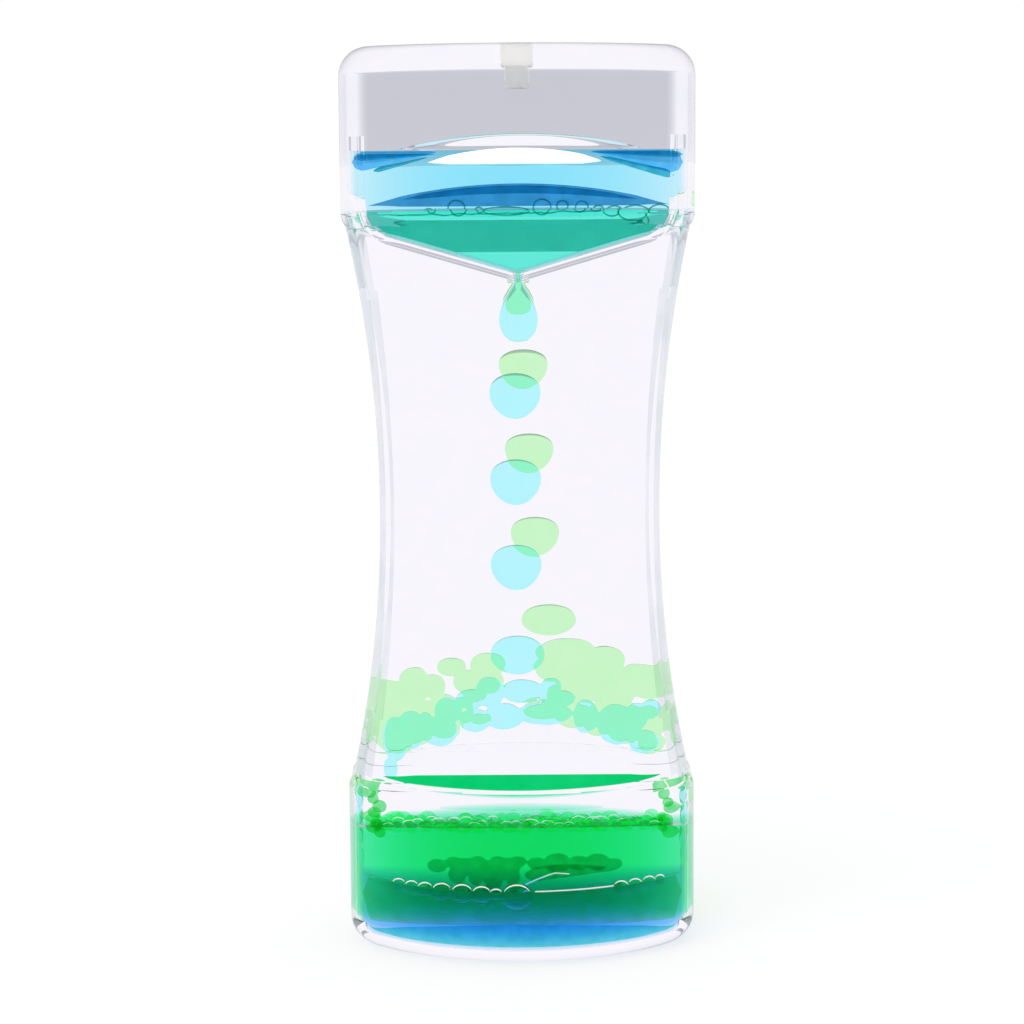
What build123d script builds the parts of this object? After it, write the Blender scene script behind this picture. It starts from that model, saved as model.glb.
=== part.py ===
from build123d import *
import math
import os

# A liquid motion timer: a clear hourglass case of two half shells with a divider
# panel between them. The front compartment holds blue liquid and the rear one green.
# Each has a funnel tray near both ends, so it works either way up. Millimetres,
# +Z up, front towards -Y, origin at the centre of the bottom face.

# Case, outside
overall_height = 140.0
block_width = 54.4
block_depth = 40.0
block_height = 27.4
block_corner_radius = 10.0
block_side_flat_share = 0.155
end_edge_radius = 4.5
ledge_edge_radius = 1.9
waist_width = 43.0
waist_end_inset = 0.07
waist_depth = 23.6
waist_face_radius = 1500.0
waist_corner_radius = 3.5
waist_overlap = 2.8
waist_stations = 4
case_wall = 1.8
cavity_end_radius = 2.7

# Divider panel and the groove that holds it
divider_thickness = 1.2
groove_depth = 0.9
groove_clearance = 0.05

# Funnel trays
funnel_hang = 7.0
funnel_slope_deg = 16.3
funnel_thickness = 1.1
funnel_rim_radius = 5.0
channel_gap = 1.4
riser_top_clearance = 13.5
nozzle_bore = 1.6
nozzle_outer = 3.4
nozzle_drop = 0.3
tray_seat = 0.02

# Filler plugs
plug_stem_diameter = 4.0
plug_stem_length = 5.7
plug_head_diameter = 6.4
plug_head_thickness = 0.9
plug_boss_diameter = 7.6
plug_boss_height = 1.2
plug_fit = 0.03
plug_offset = 9.0

# Liquids
liquid_film = 0.04
upper_blue_fill_share = 0.895
upper_blue_dome = 2.6
upper_green_fill_share = 0.469
upper_green_dome = 3.5
dome_side_clearance = 0.9
lower_blue_fill_share = 0.416
lower_green_fill_share = 0.704

# Drops of the two trains, and the drops that hang and land
crown_fullness_share = 0.6
belly_fullness_share = 0.53
blue_drop_width = 7.9
blue_drop_crown_share = 0.217
blue_drop_belly_share = 0.311
blue_drop_first_share = 0.169
blue_drop_spacing_share = 0.291
blue_drop_side = -0.6
green_drop_width = 7.7
green_drop_crown_share = 0.173
green_drop_belly_share = 0.293
green_drop_first_share = 0.17
green_drop_spacing_share = 0.2876
green_drop_side = 0.7
green_drop_drift = 0.85
drops_in_train = 3
train_offset = 5.4
blue_pendant_width = 5.9
blue_pendant_length_share = 0.1264
blue_pendant_widest_share = 0.63
green_pendant_width = 5.2
green_pendant_length_share = 0.0744
green_pendant_widest_share = 0.6
pendant_shoulder_share = 0.45
pendant_shoulder_width_share = 0.7
pendant_neck_clearance = 0.05
landed_blue_width = 8.5
landed_blue_height = 6.0
landed_blue_side = -0.5
landed_green_width = 8.7
landed_green_height = 4.9
landed_green_side = 4.5
landed_gap = 0.1

# Beads piled on the lower trays, and drops squeezed into the side channels
bead_width = 4.7
bead_depth = 4.2
blue_bead_height = 3.3
green_bead_height = 3.8
bead_gap = 0.1
bead_row_offset = 2.25
bead_side_clearance = 2.1
blue_upper_bead_share = 0.486
green_upper_bead_share = 0.865
green_top_bead_share = 0.297
green_top_bead_middle_share = 0.378
bead_variation_share = 0.07
channel_drop_width = 1.0
channel_drop_height = 3.6
channel_drop_depth = 3.0
channel_drop_top_share = 0.803
channel_drop_spacing = 4.3
channel_drop_margin = 0.6

# Froth that floats on the lower liquids
froth_bead_width = 2.9
froth_bead_height = 2.3
froth_gap = 0.08
green_froth_run_share = 0.807
blue_froth_run_share = 0.768
blue_froth_clear_start_share = 0.098
blue_froth_clear_end_share = 0.531

# Named overrun for cuts
overrun = 5.0


# Case outline
middle_height = overall_height / 2
half_width = block_width / 2
half_depth = block_depth / 2
inner_half_width = half_width - case_wall
corner_centre_x = half_width - block_corner_radius
corner_centre_y = half_depth * block_side_flat_share
corner_rise = half_depth - corner_centre_y
face_radius = (corner_centre_x**2 + corner_rise**2 - block_corner_radius**2) / (
    2 * (corner_rise - block_corner_radius)
)
face_centre = face_radius - half_depth
corner_angle = math.atan2(corner_centre_y + face_centre, corner_centre_x)
waist_bottom = block_height - waist_overlap
waist_half_run = middle_height - waist_bottom
waist_side_sag = half_width - waist_end_inset - waist_width / 2
waist_side_radius = (waist_half_run**2 + waist_side_sag**2) / (2 * waist_side_sag)

# Heights inside the case
slope = math.tan(math.radians(funnel_slope_deg))
plate_drop = funnel_thickness / math.cos(math.radians(funnel_slope_deg))
funnel_half_width = inner_half_width - channel_gap - funnel_thickness
funnel_apex_height = overall_height - block_height - funnel_hang
riser_top_height = overall_height - riser_top_clearance
funnel_depth = riser_top_height - funnel_apex_height
upper_blue_level = funnel_apex_height + funnel_depth * upper_blue_fill_share
upper_green_level = funnel_apex_height + funnel_depth * upper_green_fill_share
lower_blue_level = block_height * lower_blue_fill_share
lower_green_level = block_height * lower_green_fill_share
dome_half_width = funnel_half_width - dome_side_clearance
spout_bottom = funnel_apex_height - plate_drop - nozzle_drop
fall = 2 * funnel_apex_height - overall_height
blue_pendant_length = fall * blue_pendant_length_share
green_pendant_length = fall * green_pendant_length_share
tray_top_apex = overall_height - funnel_apex_height + plate_drop


def mirror_ends(solid):
    """The same solid at the other end of the case."""
    return solid.mirror(Plane.XY.offset(middle_height))


def rear(solid):
    """The same solid in the rear compartment."""
    return solid.mirror(Plane.XZ)


def all_rear(solids):
    """A group of solids, each in the rear compartment."""
    return [rear(solid) for solid in solids]


def box_between(low, high):
    """A box from its low corner to its high corner."""
    size = [h - l for l, h in zip(low, high)]
    corner = Pos(*low)
    return corner * Box(*size, align=(Align.MIN, Align.MIN, Align.MIN))


def block_plan(inset):
    """Plan of an end block: bowed front and back, short flat sides, round corners."""
    side = half_width - inset
    bow = face_radius - inset
    corner = block_corner_radius - inset
    turn_x = bow * math.cos(corner_angle)
    turn_y = bow * math.sin(corner_angle) - face_centre
    half_angle = corner_angle / 2
    middle_x = corner_centre_x + corner * math.cos(half_angle)
    middle_y = corner_centre_y + corner * math.sin(half_angle)
    front_bow = ThreePointArc((-turn_x, -turn_y), (0, inset - half_depth), (turn_x, -turn_y))
    rear_bow = ThreePointArc((turn_x, turn_y), (0, half_depth - inset), (-turn_x, turn_y))
    edges = [front_bow, rear_bow]
    for sx in (-1, 1):
        for sy in (-1, 1):
            start = (sx * turn_x, sy * turn_y)
            middle = (sx * middle_x, sy * middle_y)
            end = (sx * side, sy * corner_centre_y)
            edges.append(ThreePointArc(start, middle, end))
        low = (sx * side, -corner_centre_y)
        high = (sx * side, corner_centre_y)
        edges.append(Line(low, high))
    return make_face(edges)


def block_solid(inset):
    """One end block, moved inwards by the inset on every side."""
    height = block_height - 2 * inset
    solid = Pos(0, 0, inset) * extrude(block_plan(inset), amount=height)
    end_edges = solid.faces().sort_by(Axis.Z)[0].edges()
    end_radius = end_edge_radius if inset == 0 else cavity_end_radius
    solid = fillet(end_edges, end_radius)
    if inset < case_wall:
        ledge_edges = solid.faces().sort_by(Axis.Z)[-1].edges()
        solid = fillet(ledge_edges, ledge_edge_radius - inset)
    return solid


def waist_half_width(height):
    """Half the waist's width at a height: one long arc on each side."""
    rise = abs(height - middle_height)
    return waist_width / 2 + waist_side_radius - math.sqrt(waist_side_radius**2 - rise**2)


def waist_half_depth(height):
    """Half the waist's depth at a height: a far gentler arc front and back."""
    rise = abs(height - middle_height)
    return waist_depth / 2 + waist_face_radius - math.sqrt(waist_face_radius**2 - rise**2)


def waist_section(height, inset):
    """A rounded rectangle across the waist."""
    width = 2 * (waist_half_width(height) - inset)
    depth = 2 * (waist_half_depth(height) - inset)
    share = abs(height - middle_height) / waist_half_run
    full_corner = waist_half_depth(height) - corner_centre_y
    corner = waist_corner_radius + (full_corner - waist_corner_radius) * share**2
    return Pos(0, 0, height) * RectangleRounded(width, depth, corner - inset)


def waist_solid(inset):
    """The waist between the blocks, through sections evenly spread over its height."""
    step = waist_half_run / waist_stations
    steps = range(-waist_stations, waist_stations + 1)
    return loft([waist_section(middle_height + n * step, inset) for n in steps])


def envelope(inset):
    """The whole case outline, moved inwards by the inset."""
    block = block_solid(inset)
    return waist_solid(inset) + block + mirror_ends(block)


def front_half(solid, gap):
    """What lies in front of the middle plane, at least a gap away from it."""
    low = (-block_width, -block_depth, -overrun)
    high = (block_width, -gap, overall_height + overrun)
    return solid & box_between(low, high)


def write(solid, name):
    """Save one sub-part as a STEP file named after its node."""
    os.makedirs("parts", exist_ok=True)
    export_step(solid, "parts/" + name + ".step")


def write_group(solids, name):
    """Save a group of separate solids as one sub-part."""
    write(Compound(children=solids), name)


outside = envelope(0)
cavity = envelope(case_wall)
compartment = front_half(envelope(case_wall + tray_seat), divider_thickness / 2 + tray_seat)
fluid_space = front_half(envelope(case_wall + liquid_film), divider_thickness / 2 + liquid_film)


# Filler plug and the boss in the end wall that holds it
def filler_plug(grow):
    """The plug's stem and head, grown outwards where it cuts its own pocket."""
    top = (Align.CENTER, Align.CENTER, Align.MAX)
    stem = Cylinder(plug_stem_diameter / 2 + grow, plug_stem_length, align=top)
    head = Cylinder(plug_head_diameter / 2 + grow, plug_head_thickness, align=top)
    return Pos(0, -plug_offset, overall_height) * (stem + head)


def plug_boss():
    top = (Align.CENTER, Align.CENTER, Align.MAX)
    boss = Cylinder(plug_boss_diameter / 2, case_wall / 2 + plug_boss_height, align=top)
    return Pos(0, -plug_offset, overall_height - case_wall / 2) * boss


# Half shells, with the groove for the divider
def front_shell():
    shell = front_half(outside, 0) - cavity
    shell = shell + plug_boss()
    shell = shell - filler_plug(plug_fit)
    groove = front_half(envelope(case_wall - groove_depth), 0)
    slot_low = (-block_width, -divider_thickness / 2 - groove_clearance, -overrun)
    slot_high = (block_width, overrun, overall_height + overrun)
    groove = groove & box_between(slot_low, slot_high)
    return shell - groove


def divider_panel():
    plate = envelope(case_wall - groove_depth + groove_clearance)
    low = (-block_width, -divider_thickness / 2, -overrun)
    high = (block_width, divider_thickness / 2, overall_height + overrun)
    return plate & box_between(low, high)


# Funnel tray: a wide V with round rims that rise as plates beside the end block's walls
def funnel_outline(grow):
    """The V-shaped outline of a tray, grown outwards."""
    side = funnel_half_width + grow
    apex = funnel_apex_height - grow / math.cos(math.radians(funnel_slope_deg))
    rim_height = apex + slope * side
    left = [(-side, riser_top_height), (-side, rim_height)]
    right = [(side, rim_height), (side, riser_top_height)]
    points = left + [(0, apex)] + right
    face = Plane.XZ * make_face(Polyline(*points, close=True))
    corners = [v for v in face.vertices() if abs(v.Z - rim_height) < funnel_thickness]
    return fillet(corners, funnel_rim_radius + grow)


def funnel_block(grow):
    """The funnel outline as a solid through the front compartment."""
    return extrude(funnel_outline(grow), amount=block_depth, both=True)


def upper_tray():
    tray = funnel_block(funnel_thickness) - funnel_block(0)
    spout_height = plate_drop + nozzle_drop
    spout = Cylinder(nozzle_outer / 2, spout_height, align=(Align.CENTER, Align.CENTER, Align.MAX))
    spout = Pos(0, -train_offset, funnel_apex_height) * spout
    bore_height = 2 * (spout_height + overrun)
    bore = Pos(0, -train_offset, funnel_apex_height) * Cylinder(nozzle_bore / 2, bore_height)
    tray = tray + (spout - funnel_block(0))
    return (tray - bore) & compartment


# Liquids
def dome(level, height):
    """The low swell of a liquid's surface in the front compartment."""
    half_run = (half_depth - case_wall - divider_thickness / 2) / 2
    middle = (divider_thickness / 2 + half_depth - case_wall) / 2
    swell = scale(Sphere(height), by=(dome_half_width / height, half_run / height, 1))
    return Pos(0, -middle, level) * swell


def upper_liquid(level, height):
    pool = funnel_block(-liquid_film) & fluid_space
    low = (-block_width, -block_depth, -overrun)
    pool_body = pool & box_between(low, (block_width, block_depth, level))
    swell = dome(level, height) & pool
    return pool_body + swell


def riser_slots():
    """The space that the lower tray's side plates take out of a liquid."""
    tray = funnel_block(funnel_thickness + liquid_film) - funnel_block(-liquid_film)
    return mirror_ends(tray)


def lower_liquid(level):
    low = (-block_width, -block_depth, -overrun)
    pool = fluid_space & box_between(low, (block_width, block_depth, level))
    if level > overall_height - riser_top_height:
        pool = pool - riser_slots()
    return pool


# Drops
def drop(width, crown, belly):
    """A falling drop: flattened on top, rounder below, about its widest plane."""
    side = width / 2
    crown_curve = Bezier(
        (side, 0),
        (side, crown * crown_fullness_share),
        (side * crown_fullness_share, crown),
        (0, crown),
    )
    belly_curve = Bezier(
        (side, 0),
        (side, -belly * belly_fullness_share),
        (side * belly_fullness_share, -belly),
        (0, -belly),
    )
    axis = Line((0, -belly), (0, crown))
    return revolve(Plane.XZ * make_face([crown_curve, belly_curve, axis]), Axis.Z)


def pendant(width, length, widest_share):
    """A drop that hangs from a nozzle, with its neck up in the bore."""
    neck = nozzle_bore / 2 - pendant_neck_clearance
    widest = spout_bottom - length * widest_share
    shoulder_side = width / 2 * pendant_shoulder_width_share
    shoulder = spout_bottom - length * widest_share * pendant_shoulder_share
    side = Spline(
        (neck, spout_bottom),
        (shoulder_side, shoulder),
        (width / 2, widest),
        (0, spout_bottom - length),
        tangents=((1, -1), (-1, 0)),
    )
    axis = Line((0, spout_bottom - length), (0, funnel_apex_height))
    top = Line((0, funnel_apex_height), (neck, funnel_apex_height))
    bore_side = Line((neck, funnel_apex_height), (neck, spout_bottom))
    face = Plane.XZ * make_face([side, axis, top, bore_side])
    return Pos(0, -train_offset, 0) * revolve(face, Axis.Z)


def ellipsoid(width, depth, height):
    """A smooth bead with its own width, depth and height."""
    return scale(Sphere(height / 2), by=(width / height, depth / height, 1))


# Beads on the lower trays
def tray_top(place):
    """Height of the lower tray's upper face at a place to the side of the middle."""
    return tray_top_apex - slope * abs(place)


def bead_lift(height, rows):
    """How far above the tray the middle of a bead in a row lies."""
    tilt_rise = slope * bead_width / 2 + bead_gap
    return tilt_rise / 2 + height / 2 + rows * (height + tilt_rise)


def bead_row(height, run, middle, rows, depth_sign):
    """Beads along the slopes of the lower tray, so many rows up and at one depth."""
    beads = []
    pitch = bead_width + bead_gap
    stagger = pitch / 2 if depth_sign * (-1) ** rows > 0 else 0
    count = int((abs(middle) + run) / pitch) + 1
    for step in range(-count, count + 1):
        place = step * pitch + stagger
        over_nozzle = rows == 0 and abs(place) < (nozzle_outer + bead_width) / 2
        if over_nozzle or abs(place - middle) > run:
            continue
        grow = 1 - bead_variation_share * (1 + math.sin(3 * step + rows))
        body = ellipsoid(bead_width * grow, bead_depth * grow, height * grow)
        depth_place = depth_sign * bead_row_offset - train_offset
        beads.append(Pos(place, depth_place, tray_top(place) + bead_lift(height, rows)) * body)
    return beads


bead_run = waist_half_width(tray_top_apex) - case_wall - bead_width / 2 - bead_side_clearance


def blue_bead_pile():
    beads = []
    upper_run = bead_run * blue_upper_bead_share
    for depth_sign in (-1, 1):
        beads += bead_row(blue_bead_height, bead_run, 0, 0, depth_sign)
        beads += bead_row(blue_bead_height, upper_run, 0, 1, depth_sign)
    return beads


def green_bead_pile():
    beads = []
    upper_run = bead_run * green_upper_bead_share
    top_run = bead_run * green_top_bead_share
    top_middle = bead_run * green_top_bead_middle_share
    for depth_sign in (-1, 1):
        beads += bead_row(green_bead_height, bead_run, 0, 0, depth_sign)
        beads += bead_row(green_bead_height, upper_run, 0, 1, depth_sign)
        beads += bead_row(green_bead_height, top_run, top_middle, 2, depth_sign)
    return beads


def pile_top(side, bead_height, rows):
    """Height of the top of a pile's highest row, at a place to the side."""
    return tray_top(side) + bead_lift(bead_height, rows) + bead_height / 2


def landed_drop(width, height, side, pile):
    """A drop that has come down on the top of a pile and is settling on it."""
    return Pos(side, -train_offset, pile + landed_gap + height / 2) * drop(width, height / 2, height / 2)


# Trains of drops between the drop that hangs and the one that has landed
blue_pile = pile_top(landed_blue_side, blue_bead_height, 1)
green_pile = pile_top(landed_green_side, green_bead_height, 2)
blue_train_top = spout_bottom - blue_pendant_length
green_train_top = spout_bottom - green_pendant_length
blue_train_run = blue_train_top - blue_pile - landed_gap - landed_blue_height
green_train_run = green_train_top - green_pile - landed_gap - landed_green_height


def blue_drop(index):
    height = blue_train_top - blue_train_run * (blue_drop_first_share + index * blue_drop_spacing_share)
    spacing = blue_train_run * blue_drop_spacing_share
    body = drop(blue_drop_width, spacing * blue_drop_crown_share, spacing * blue_drop_belly_share)
    return Pos(blue_drop_side, -train_offset, height) * body


def green_drop(index):
    height = green_train_top - green_train_run * (green_drop_first_share + index * green_drop_spacing_share)
    side = green_drop_side + index * green_drop_drift
    spacing = green_train_run * green_drop_spacing_share
    body = drop(green_drop_width, spacing * green_drop_crown_share, spacing * green_drop_belly_share)
    return Pos(side, train_offset, height) * body


def channel_drops(count):
    """Squeezed drops on their way down both side channels of the lower tray."""
    drops = []
    plate_side = funnel_half_width + funnel_thickness
    middle = (inner_half_width + plate_side) / 2
    top = block_height * channel_drop_top_share
    depth_place = divider_thickness / 2 + channel_drop_margin + channel_drop_depth / 2
    for side in (-1, 1):
        for step in range(count):
            body = ellipsoid(channel_drop_width, channel_drop_depth, channel_drop_height)
            height = top - step * channel_drop_spacing
            drops.append(Pos(side * middle, -depth_place, height) * body)
    return drops


# Froth
def wall_depth(place):
    """How far in front of the middle plane the end block's inner wall is at a place."""
    bow = face_radius - case_wall
    return math.sqrt(bow**2 - place**2) - face_centre


def froth(level, run, clear_start, clear_end):
    """Beads that float on a lower liquid, in a row along the divider and one at the wall."""
    beads = []
    pitch = froth_bead_width + froth_gap
    count = int(run / pitch)
    margin = froth_bead_width / 2 + froth_gap
    height = level + froth_bead_height / 2 + liquid_film
    for step in range(-count, count + 1):
        place = step * pitch
        if clear_start < place < clear_end:
            continue
        near = divider_thickness / 2 + margin
        far = wall_depth(abs(place) + froth_bead_width / 2) - margin
        for depth_place in (near, far):
            body = ellipsoid(froth_bead_width, froth_bead_width, froth_bead_height)
            beads.append(Pos(place, -depth_place, height) * body)
    return beads


shell = front_shell()
write(shell, "front_shell")
write(rear(shell), "rear_shell")
write(divider_panel(), "divider_panel")

tray = upper_tray()
write(tray, "upper_front_funnel")
write(rear(tray), "upper_rear_funnel")
write(mirror_ends(tray), "lower_front_funnel")
write(rear(mirror_ends(tray)), "lower_rear_funnel")

plug = filler_plug(0)
write(plug, "front_filler_plug")
write(rear(plug), "rear_filler_plug")

write(upper_liquid(upper_blue_level, upper_blue_dome), "upper_blue_liquid")
write(rear(upper_liquid(upper_green_level, upper_green_dome)), "upper_green_liquid")
write(lower_liquid(lower_blue_level), "lower_blue_liquid")
write(rear(lower_liquid(lower_green_level)), "lower_green_liquid")

write(pendant(blue_pendant_width, blue_pendant_length, blue_pendant_widest_share), "blue_hanging_drop")
green_pendant = pendant(green_pendant_width, green_pendant_length, green_pendant_widest_share)
write(rear(green_pendant), "green_hanging_drop")

for index in range(drops_in_train):
    write(blue_drop(index), "blue_drop_" + str(index + 1))
    write(green_drop(index), "green_drop_" + str(index + 1))

landed_blue = landed_drop(landed_blue_width, landed_blue_height, landed_blue_side, blue_pile)
landed_green = landed_drop(landed_green_width, landed_green_height, landed_green_side, green_pile)
write(landed_blue, "blue_landed_drop")
write(rear(landed_green), "green_landed_drop")

write_group(blue_bead_pile(), "blue_bead_pile")
write_group(all_rear(green_bead_pile()), "green_bead_pile")
write_group(channel_drops(2), "blue_channel_drops")
write_group(all_rear(channel_drops(1)), "green_channel_drops")

green_froth_run = inner_half_width * green_froth_run_share
blue_froth_run = inner_half_width * blue_froth_run_share
clear_start = inner_half_width * blue_froth_clear_start_share
clear_end = inner_half_width * blue_froth_clear_end_share
blue_froth = froth(lower_blue_level, blue_froth_run, clear_start, clear_end)
green_froth = froth(lower_green_level, green_froth_run, green_froth_run, green_froth_run)
write_group(blue_froth, "blue_froth")
write_group(all_rear(green_froth), "green_froth")
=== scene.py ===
import math
import random

import bmesh
import bpy
from mathutils import Matrix, Vector, noise


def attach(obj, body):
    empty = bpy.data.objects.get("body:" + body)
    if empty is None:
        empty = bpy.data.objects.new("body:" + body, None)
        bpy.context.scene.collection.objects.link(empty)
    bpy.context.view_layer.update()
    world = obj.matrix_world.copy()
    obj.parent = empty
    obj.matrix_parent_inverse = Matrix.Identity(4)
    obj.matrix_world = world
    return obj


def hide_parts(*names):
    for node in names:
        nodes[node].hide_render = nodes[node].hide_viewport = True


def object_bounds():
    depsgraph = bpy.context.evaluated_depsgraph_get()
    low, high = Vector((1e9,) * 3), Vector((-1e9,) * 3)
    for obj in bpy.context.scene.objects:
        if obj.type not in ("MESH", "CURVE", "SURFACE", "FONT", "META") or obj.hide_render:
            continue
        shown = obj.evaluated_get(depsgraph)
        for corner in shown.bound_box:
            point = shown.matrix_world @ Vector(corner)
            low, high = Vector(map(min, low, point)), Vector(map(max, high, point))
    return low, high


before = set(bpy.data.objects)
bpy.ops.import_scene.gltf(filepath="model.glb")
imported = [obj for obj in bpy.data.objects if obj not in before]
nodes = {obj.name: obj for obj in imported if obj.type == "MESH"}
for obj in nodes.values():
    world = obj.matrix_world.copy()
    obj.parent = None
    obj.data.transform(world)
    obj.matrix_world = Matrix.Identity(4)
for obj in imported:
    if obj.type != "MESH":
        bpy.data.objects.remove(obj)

# A liquid motion timer seen from the front. The front compartment (-Y) holds the blue liquid,
# the rear one the green. Lengths are millimetres until a mesh is made, which is in metres.
# The refractive index of a piece inside the case is relative to the clear oil around it.
MM = 0.001
CAD_LOW, CAD_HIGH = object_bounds()
rng = random.Random(7)

# Case
WIDTH = (CAD_HIGH.x - CAD_LOW.x) / MM
DEPTH = (CAD_HIGH.y - CAD_LOW.y) / MM
HEIGHT = (CAD_HIGH.z - CAD_LOW.z) / MM
MIDDLE = HEIGHT / 2
WALL = 1.8
END_WALL = 2.0
SIDE_WALL = 2.7
BLOCK_HEIGHT = 27.4
CORNER = 10.0
SIDE_FLAT = DEPTH / 2 * 0.155
END_EDGE = 4.5
CAVITY_EDGE = 2.0
WAIST_WIDTH = 43.0
WAIST_DEPTH = 23.6
WAIST_BOTTOM = 24.3
WAIST_FACE = 1500.0
WAIST_CORNER = 3.5
WAIST_INSET = 0.07
DIVIDER_HALF = 0.6
FILM = 0.05

# Rounded edge of the ledges: at the sides, in front, inside, and where it grows from one to the other
LEDGE_EDGE = 2.6
LEDGE_EDGE_FRONT = 0.7
LEDGE_EDGE_INSIDE = 0.5
EDGE_GROWS_FROM = 15
EDGE_GROWS_OVER = 10
# Stretches below and above the ledge that belong to the shoulder
RUN_IN = 0.6
RUN_OUT = 3.2
# How far the outer skin steps in where the halves meet
JOINT_STEP = 0.08
# Distances in from an end's rounded edge of the two loops that its flat face starts with
END_LOOPS = (1.4, 0.4)

# Trays
APEX = 105.6
SLOPE = math.tan(math.radians(16.3))
TRAY_HALF = 22.9
TRAY_BEND = 5.0
PLATE_TOP = 117.0
SPILL_RISE = 1.4
TRAIN_Y = 5.4
NOZZLE_TIP = 105.5

# Levels
LEDGE_TOP = HEIGHT - BLOCK_HEIGHT + WALL
BLUE_TOP = 124.3
GREEN_TOP = 115.0
BLUE_LOW = 11.6
GREEN_LOW = 17.6

# Steps of the meshes
FLAT_STEPS = 4
CORNER_STEPS = 12
FACE_STEPS = 20
END_STEPS = 10
BLOCK_STEPS = 6
LEDGE_STEPS = 24
RUN_OUT_STEPS = 12
SHOULDER_STEPS = 46
WAIST_STEPS = 26
POOL_STEPS = 56
CAVITY_STEPS = 8
TRAY_STEPS = 20
SPILL_STEPS = 6
DEEP_STEPS = 6
LATHE_STEPS = 48
PLUG_STEPS = 40

# Plan curves of the block and of the waist
side_run = WIDTH / 2 - CORNER
bow_rise = DEPTH / 2 - SIDE_FLAT
BOW = (side_run**2 + bow_rise**2 - CORNER**2) / (2 * (bow_rise - CORNER))
BOW_CENTRE = BOW - DEPTH / 2
TURN = math.atan2(SIDE_FLAT + BOW_CENTRE, side_run)
half_run = MIDDLE - WAIST_BOTTOM
sag = WIDTH / 2 - WAIST_INSET - WAIST_WIDTH / 2
WAIST_ARC = (half_run**2 + sag**2) / (2 * sag)


def low_end(z):
    """The same height measured from the nearer end."""
    return min(z, HEIGHT - z)


def waist_size(z, inset):
    """Half width, half depth and corner radius of the waist at a height."""
    off = abs(z - MIDDLE)
    width = WAIST_WIDTH / 2 + WAIST_ARC - math.sqrt(WAIST_ARC**2 - off**2)
    depth = WAIST_DEPTH / 2 + WAIST_FACE - math.sqrt(WAIST_FACE**2 - off**2)
    share = min(off / half_run, 1)
    corner = WAIST_CORNER + (depth - SIDE_FLAT - WAIST_CORNER) * share**2
    return width - inset, depth - inset, corner - inset


def arc_points(cx, cy, radius, start, end, count):
    """Points on an arc, angles measured from +X towards the front."""
    out = []
    for i in range(count + 1):
        a = start + (end - start) * i / count
        out.append((cx + radius * math.cos(a), cy - radius * math.sin(a)))
    return out


def half_loop(right):
    """Close a right-hand quarter outline into a front half, from +X round to -X."""
    left = [(-x, y) for x, y in reversed(right)]
    return right + left[1:]


def block_half(inset):
    """Front half of the end block's outline."""
    flat = [(WIDTH / 2 - inset, -SIDE_FLAT * i / FLAT_STEPS) for i in range(FLAT_STEPS)]
    corner = arc_points(side_run, -SIDE_FLAT, CORNER - inset, 0, TURN, CORNER_STEPS)
    face = arc_points(0, BOW_CENTRE, BOW - inset, TURN, math.pi / 2, FACE_STEPS)
    return half_loop(flat + corner + face[1:])


def waist_half(z, inset):
    """Front half of the waist's outline at a height, with as many points as the block's."""
    w, d, c = waist_size(z, inset)
    flat = [(w, -(d - c) * i / FLAT_STEPS) for i in range(FLAT_STEPS)]
    corner = arc_points(w - c, -(d - c), c, 0, math.pi / 2, CORNER_STEPS)
    face = [((w - c) * (1 - i / FACE_STEPS), -d) for i in range(1, FACE_STEPS + 1)]
    return half_loop(flat + corner + face)


def cavity_extra(z):
    """How much the cavity narrows in its rounded end."""
    rest = low_end(z) - END_WALL
    if rest >= CAVITY_EDGE:
        return 0
    return CAVITY_EDGE - math.sqrt(max(CAVITY_EDGE**2 - (CAVITY_EDGE - rest) ** 2, 0))


def front_at(x, z, inset, block):
    """How far in front of the middle plane the wall of the block or the waist is."""
    x = abs(x)
    if block:
        inset = inset + cavity_extra(z)
        bow = BOW - inset
        if x < bow * math.cos(TURN):
            return math.sqrt(bow**2 - x**2) - BOW_CENTRE
        c = CORNER - inset
        return SIDE_FLAT + math.sqrt(max(c**2 - (x - side_run) ** 2, 0))
    w, d, c = waist_size(z, inset)
    if x < w - c:
        return d
    return d - c + math.sqrt(max(c**2 - (x - w + c) ** 2, 0))


# Mesh helpers; in metres, how near points are welded and how short an edge is dropped
WELD = 2e-6
SLIVER = 1e-7


def make(name, node, verts, faces, look, sharp):
    """A finished piece: mesh, material, body and the node it stands for."""
    me = bpy.data.meshes.new(name)
    me.from_pydata([Vector(v) * MM for v in verts], [], faces)
    bm = bmesh.new()
    bm.from_mesh(me)
    bmesh.ops.remove_doubles(bm, verts=bm.verts, dist=WELD)
    bmesh.ops.dissolve_degenerate(bm, edges=bm.edges, dist=SLIVER)
    bmesh.ops.recalc_face_normals(bm, faces=bm.faces)
    for f in bm.faces:
        f.smooth = True
    bm.to_mesh(me)
    bm.free()
    me.set_sharp_from_angle(angle=math.radians(sharp))
    ob = bpy.data.objects.new(name, me)
    bpy.context.scene.collection.objects.link(ob)
    for m in look if isinstance(look, list) else [look]:
        me.materials.append(m)
    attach(ob, "case")
    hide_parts(node)
    return ob


def loft(rows, closed):
    """Quads between rows of points."""
    verts = [p for row in rows for p in row]
    n = len(rows[0])
    faces = []
    for r in range(len(rows) - 1):
        for k in range(n if closed else n - 1):
            a = r * n + k
            b = r * n + (k + 1) % n
            faces.append((a, b, b + n, a + n))
    return verts, faces


def capped(rows):
    """A closed tube of rows with a face at each end."""
    verts, faces = loft(rows, True)
    n = len(rows[0])
    last = (len(rows) - 1) * n
    faces += [tuple(range(n)), tuple(last + j for j in range(n))]
    return verts, faces


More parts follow.
